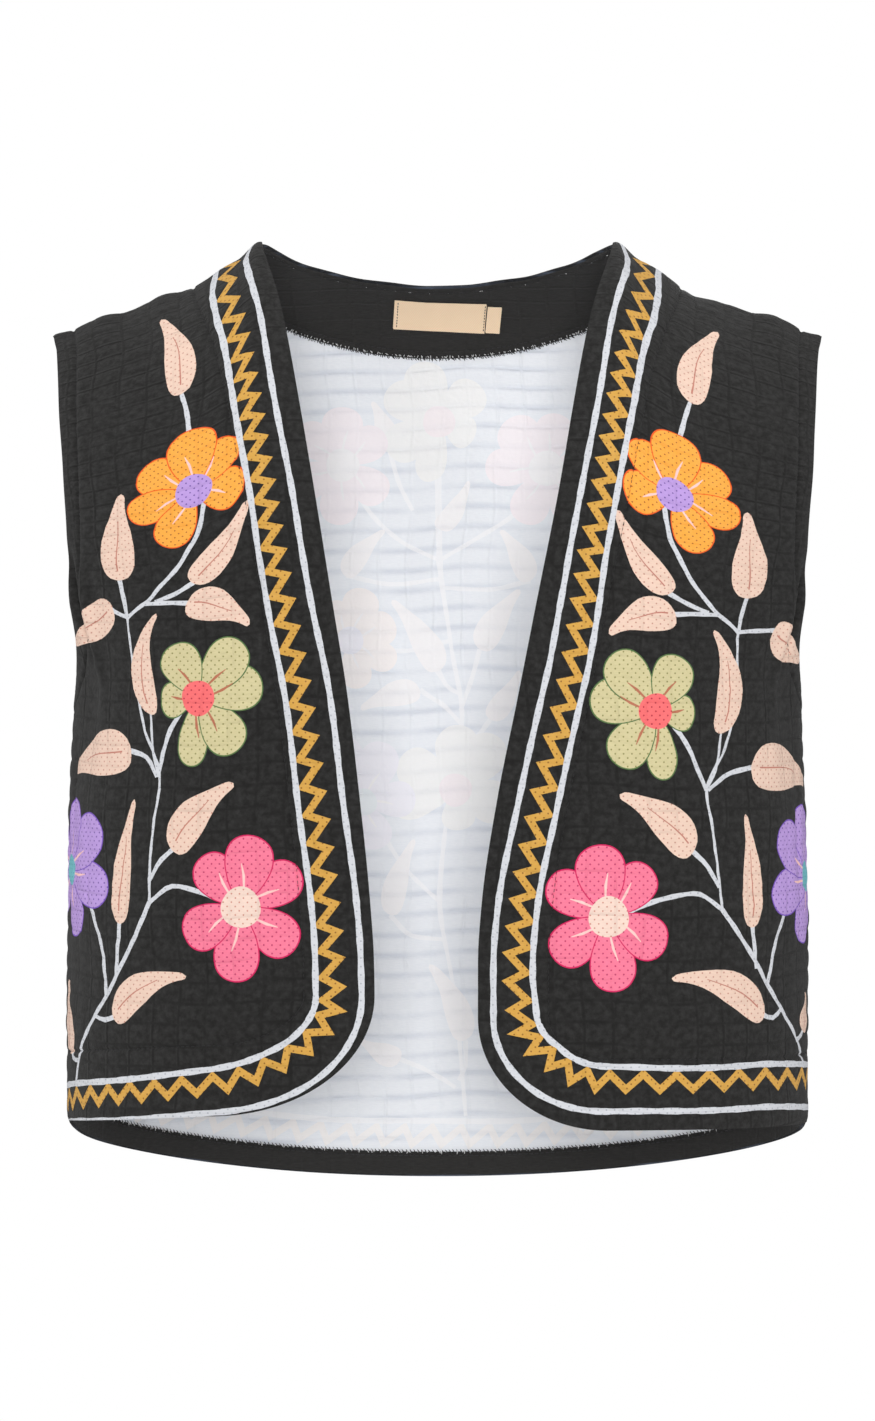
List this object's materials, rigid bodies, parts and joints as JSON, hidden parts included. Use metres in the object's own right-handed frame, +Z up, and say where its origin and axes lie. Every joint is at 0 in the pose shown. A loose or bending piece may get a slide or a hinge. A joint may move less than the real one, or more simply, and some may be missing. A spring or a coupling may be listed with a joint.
{
  "type": "open-front waistcoat",
  "caption": "Cropped open-front sleeveless waistcoat of printed double gauze, hollow as worn, with rounded front corners and faced edges.",
  "frame": {"origin": "midway between the neck ends of the shoulder seams, at their height, where the wearer's shoulders carry it", "axes": "+X to the wearer's left, +Y to the wearer's back, +Z up"},
  "size_m": [0.422, 0.2287, 0.521],
  "materials": {
    "printed_gauze": "black cotton double gauze, printed outside and white inside",
    "facing_gauze": "black cotton double gauze",
    "tape": "matt twill tape, bare"
  },
  "bodies": {
    "root": {"front_wearer_right": "printed_gauze", "front_wearer_left": "printed_gauze", "back": "printed_gauze", "front_facing_wearer_right": "facing_gauze", "front_facing_wearer_left": "facing_gauze", "back_neck_facing": "facing_gauze", "back_hem_facing": "facing_gauze", "neck_label": "tape", "size_tab": "tape"}
  },
  "joints": []
}
